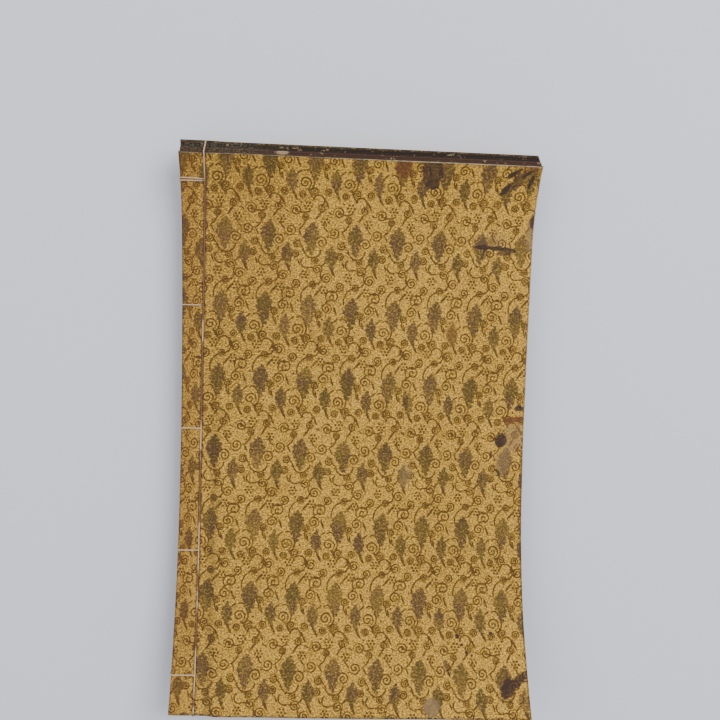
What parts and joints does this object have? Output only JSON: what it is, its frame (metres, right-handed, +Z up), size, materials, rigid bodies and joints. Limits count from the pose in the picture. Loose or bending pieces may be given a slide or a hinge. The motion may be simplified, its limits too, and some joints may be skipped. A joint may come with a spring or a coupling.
{
  "type": "scrapbook album",
  "caption": "Soft-covered, side-sewn album with a bowed body, figured covers and thick leaves that open like a fan from a sewn margin.",
  "frame": {"origin": "on the resting surface, under the middle of the whole album's bounding box", "axes": "+Z up through the front cover, +Y towards the head, +X from the spine to the fore-edge"},
  "size_m": [0.2002, 0.3166, 0.0426],
  "materials": {
    "figured_facing": "gold ground with an olive-brown scroll figure, matt",
    "cover_board": "laminated card, matt",
    "lining_paper": "aged paper, matt",
    "leaf_paper": "thick aged album paper, matt",
    "thread": "twisted undyed thread",
    "tie_paper": "twisted paper"
  },
  "bodies": {
    "sewn_margin": {"front_margin_facing": "figured_facing", "front_margin_board": "cover_board", "front_margin_lining": "lining_paper", "back_margin_facing": "figured_facing", "back_margin_board": "cover_board", "back_margin_lining": "lining_paper", "leaf_margins": "leaf_paper", "binding_thread": "thread", "head_paper_tie": "tie_paper", "tail_paper_tie": "tie_paper"},
    "front_cover": {"front_facing": "figured_facing", "front_board": "cover_board", "front_lining": "lining_paper"},
    "back_cover": {"back_facing": "figured_facing", "back_board": "cover_board", "back_lining": "lining_paper"},
    "front_flyleaf_body": {"front_flyleaf": "leaf_paper"},
    "leaf_01_body": {"leaf_01": "leaf_paper"},
    "leaf_02_body": {"leaf_02": "leaf_paper"},
    "leaf_03_body": {"leaf_03": "leaf_paper"},
    "leaf_04_body": {"leaf_04": "leaf_paper"},
    "leaf_05_body": {"leaf_05": "leaf_paper"},
    "leaf_06_body": {"leaf_06": "leaf_paper"},
    "leaf_07_body": {"leaf_07": "leaf_paper"},
    "leaf_08_body": {"leaf_08": "leaf_paper"},
    "leaf_09_body": {"leaf_09": "leaf_paper"},
    "leaf_10_body": {"leaf_10": "leaf_paper"},
    "leaf_11_body": {"leaf_11": "leaf_paper"},
    "leaf_12_body": {"leaf_12": "leaf_paper"},
    "leaf_13_body": {"leaf_13": "leaf_paper"},
    "leaf_14_body": {"leaf_14": "leaf_paper"},
    "leaf_15_body": {"leaf_15": "leaf_paper"},
    "leaf_16_body": {"leaf_16": "leaf_paper"},
    "leaf_17_body": {"leaf_17": "leaf_paper"},
    "leaf_18_body": {"leaf_18": "leaf_paper"},
    "back_flyleaf_body": {"back_flyleaf": "leaf_paper"}
  },
  "joints": [
    {"name": "front_cover_hinge", "type": "hinge", "parent": "sewn_margin", "child": "front_cover", "pos_m": [-0.08, 0, 0.0292], "axis": [0, -1, 0], "range_deg": [0, 165]},
    {"name": "front_flyleaf_hinge", "type": "hinge", "parent": "sewn_margin", "child": "front_flyleaf_body", "pos_m": [-0.08, 0, 0.0292], "axis": [0, -1, 0], "range_deg": [0, 165]},
    {"name": "leaf_01_hinge", "type": "hinge", "parent": "sewn_margin", "child": "leaf_01_body", "pos_m": [-0.08, 0, 0.0292], "axis": [0, -1, 0], "range_deg": [0, 165]},
    {"name": "leaf_02_hinge", "type": "hinge", "parent": "sewn_margin", "child": "leaf_02_body", "pos_m": [-0.08, 0, 0.0292], "axis": [0, -1, 0], "range_deg": [0, 165]},
    {"name": "leaf_03_hinge", "type": "hinge", "parent": "sewn_margin", "child": "leaf_03_body", "pos_m": [-0.08, 0, 0.0292], "axis": [0, -1, 0], "range_deg": [0, 165]},
    {"name": "leaf_04_hinge", "type": "hinge", "parent": "sewn_margin", "child": "leaf_04_body", "pos_m": [-0.08, 0, 0.0292], "axis": [0, -1, 0], "range_deg": [0, 165]},
    {"name": "leaf_05_hinge", "type": "hinge", "parent": "sewn_margin", "child": "leaf_05_body", "pos_m": [-0.08, 0, 0.0292], "axis": [0, -1, 0], "range_deg": [0, 165]},
    {"name": "leaf_06_hinge", "type": "hinge", "parent": "sewn_margin", "child": "leaf_06_body", "pos_m": [-0.08, 0, 0.0292], "axis": [0, -1, 0], "range_deg": [0, 165]},
    {"name": "leaf_07_hinge", "type": "hinge", "parent": "sewn_margin", "child": "leaf_07_body", "pos_m": [-0.08, 0, 0.0292], "axis": [0, -1, 0], "range_deg": [0, 165]},
    {"name": "leaf_08_hinge", "type": "hinge", "parent": "sewn_margin", "child": "leaf_08_body", "pos_m": [-0.08, 0, 0.0292], "axis": [0, -1, 0], "range_deg": [0, 165]},
    {"name": "leaf_09_hinge", "type": "hinge", "parent": "sewn_margin", "child": "leaf_09_body", "pos_m": [-0.08, 0, 0.0292], "axis": [0, -1, 0], "range_deg": [0, 165]},
    {"name": "leaf_10_hinge", "type": "hinge", "parent": "sewn_margin", "child": "leaf_10_body", "pos_m": [-0.08, 0, 0.0292], "axis": [0, -1, 0], "range_deg": [0, 165]},
    {"name": "leaf_11_hinge", "type": "hinge", "parent": "sewn_margin", "child": "leaf_11_body", "pos_m": [-0.08, 0, 0.0292], "axis": [0, -1, 0], "range_deg": [0, 165]},
    {"name": "leaf_12_hinge", "type": "hinge", "parent": "sewn_margin", "child": "leaf_12_body", "pos_m": [-0.08, 0, 0.0292], "axis": [0, -1, 0], "range_deg": [0, 165]},
    {"name": "leaf_13_hinge", "type": "hinge", "parent": "sewn_margin", "child": "leaf_13_body", "pos_m": [-0.08, 0, 0.0292], "axis": [0, -1, 0], "range_deg": [0, 165]},
    {"name": "leaf_14_hinge", "type": "hinge", "parent": "sewn_margin", "child": "leaf_14_body", "pos_m": [-0.08, 0, 0.0292], "axis": [0, -1, 0], "range_deg": [0, 165]},
    {"name": "leaf_15_hinge", "type": "hinge", "parent": "sewn_margin", "child": "leaf_15_body", "pos_m": [-0.08, 0, 0.0292], "axis": [0, -1, 0], "range_deg": [0, 165]},
    {"name": "leaf_16_hinge", "type": "hinge", "parent": "sewn_margin", "child": "leaf_16_body", "pos_m": [-0.08, 0, 0.0292], "axis": [0, -1, 0], "range_deg": [0, 165]},
    {"name": "leaf_17_hinge", "type": "hinge", "parent": "sewn_margin", "child": "leaf_17_body", "pos_m": [-0.08, 0, 0.0292], "axis": [0, -1, 0], "range_deg": [0, 165]},
    {"name": "leaf_18_hinge", "type": "hinge", "parent": "sewn_margin", "child": "leaf_18_body", "pos_m": [-0.08, 0, 0.0292], "axis": [0, -1, 0], "range_deg": [0, 165]},
    {"name": "back_flyleaf_hinge", "type": "hinge", "parent": "sewn_margin", "child": "back_flyleaf_body", "pos_m": [-0.08, 0, 0.0292], "axis": [0, -1, 0], "range_deg": [0, 165]},
    {"name": "back_cover_hinge", "type": "hinge", "parent": "sewn_margin", "child": "back_cover", "pos_m": [-0.08, 0, -0.0003], "axis": [0, 1, 0], "range_deg": [0, 165]}
  ],
  "couplings": [
    {"joint": "front_flyleaf_hinge", "follows": "front_cover_hinge", "ratio": 0.9524},
    {"joint": "leaf_01_hinge", "follows": "front_cover_hinge", "ratio": 0.9048},
    {"joint": "leaf_02_hinge", "follows": "front_cover_hinge", "ratio": 0.8571},
    {"joint": "leaf_03_hinge", "follows": "front_cover_hinge", "ratio": 0.8095},
    {"joint": "leaf_04_hinge", "follows": "front_cover_hinge", "ratio": 0.7619},
    {"joint": "leaf_05_hinge", "follows": "front_cover_hinge", "ratio": 0.7143},
    {"joint": "leaf_06_hinge", "follows": "front_cover_hinge", "ratio": 0.6667},
    {"joint": "leaf_07_hinge", "follows": "front_cover_hinge", "ratio": 0.619},
    {"joint": "leaf_08_hinge", "follows": "front_cover_hinge", "ratio": 0.5714},
    {"joint": "leaf_09_hinge", "follows": "front_cover_hinge", "ratio": 0.5238},
    {"joint": "leaf_10_hinge", "follows": "front_cover_hinge", "ratio": 0.4762},
    {"joint": "leaf_11_hinge", "follows": "front_cover_hinge", "ratio": 0.4286},
    {"joint": "leaf_12_hinge", "follows": "front_cover_hinge", "ratio": 0.381},
    {"joint": "leaf_13_hinge", "follows": "front_cover_hinge", "ratio": 0.3333},
    {"joint": "leaf_14_hinge", "follows": "front_cover_hinge", "ratio": 0.2857},
    {"joint": "leaf_15_hinge", "follows": "front_cover_hinge", "ratio": 0.2381},
    {"joint": "leaf_16_hinge", "follows": "front_cover_hinge", "ratio": 0.1905},
    {"joint": "leaf_17_hinge", "follows": "front_cover_hinge", "ratio": 0.1429},
    {"joint": "leaf_18_hinge", "follows": "front_cover_hinge", "ratio": 0.0952},
    {"joint": "back_flyleaf_hinge", "follows": "front_cover_hinge", "ratio": 0.0476}
  ]
}
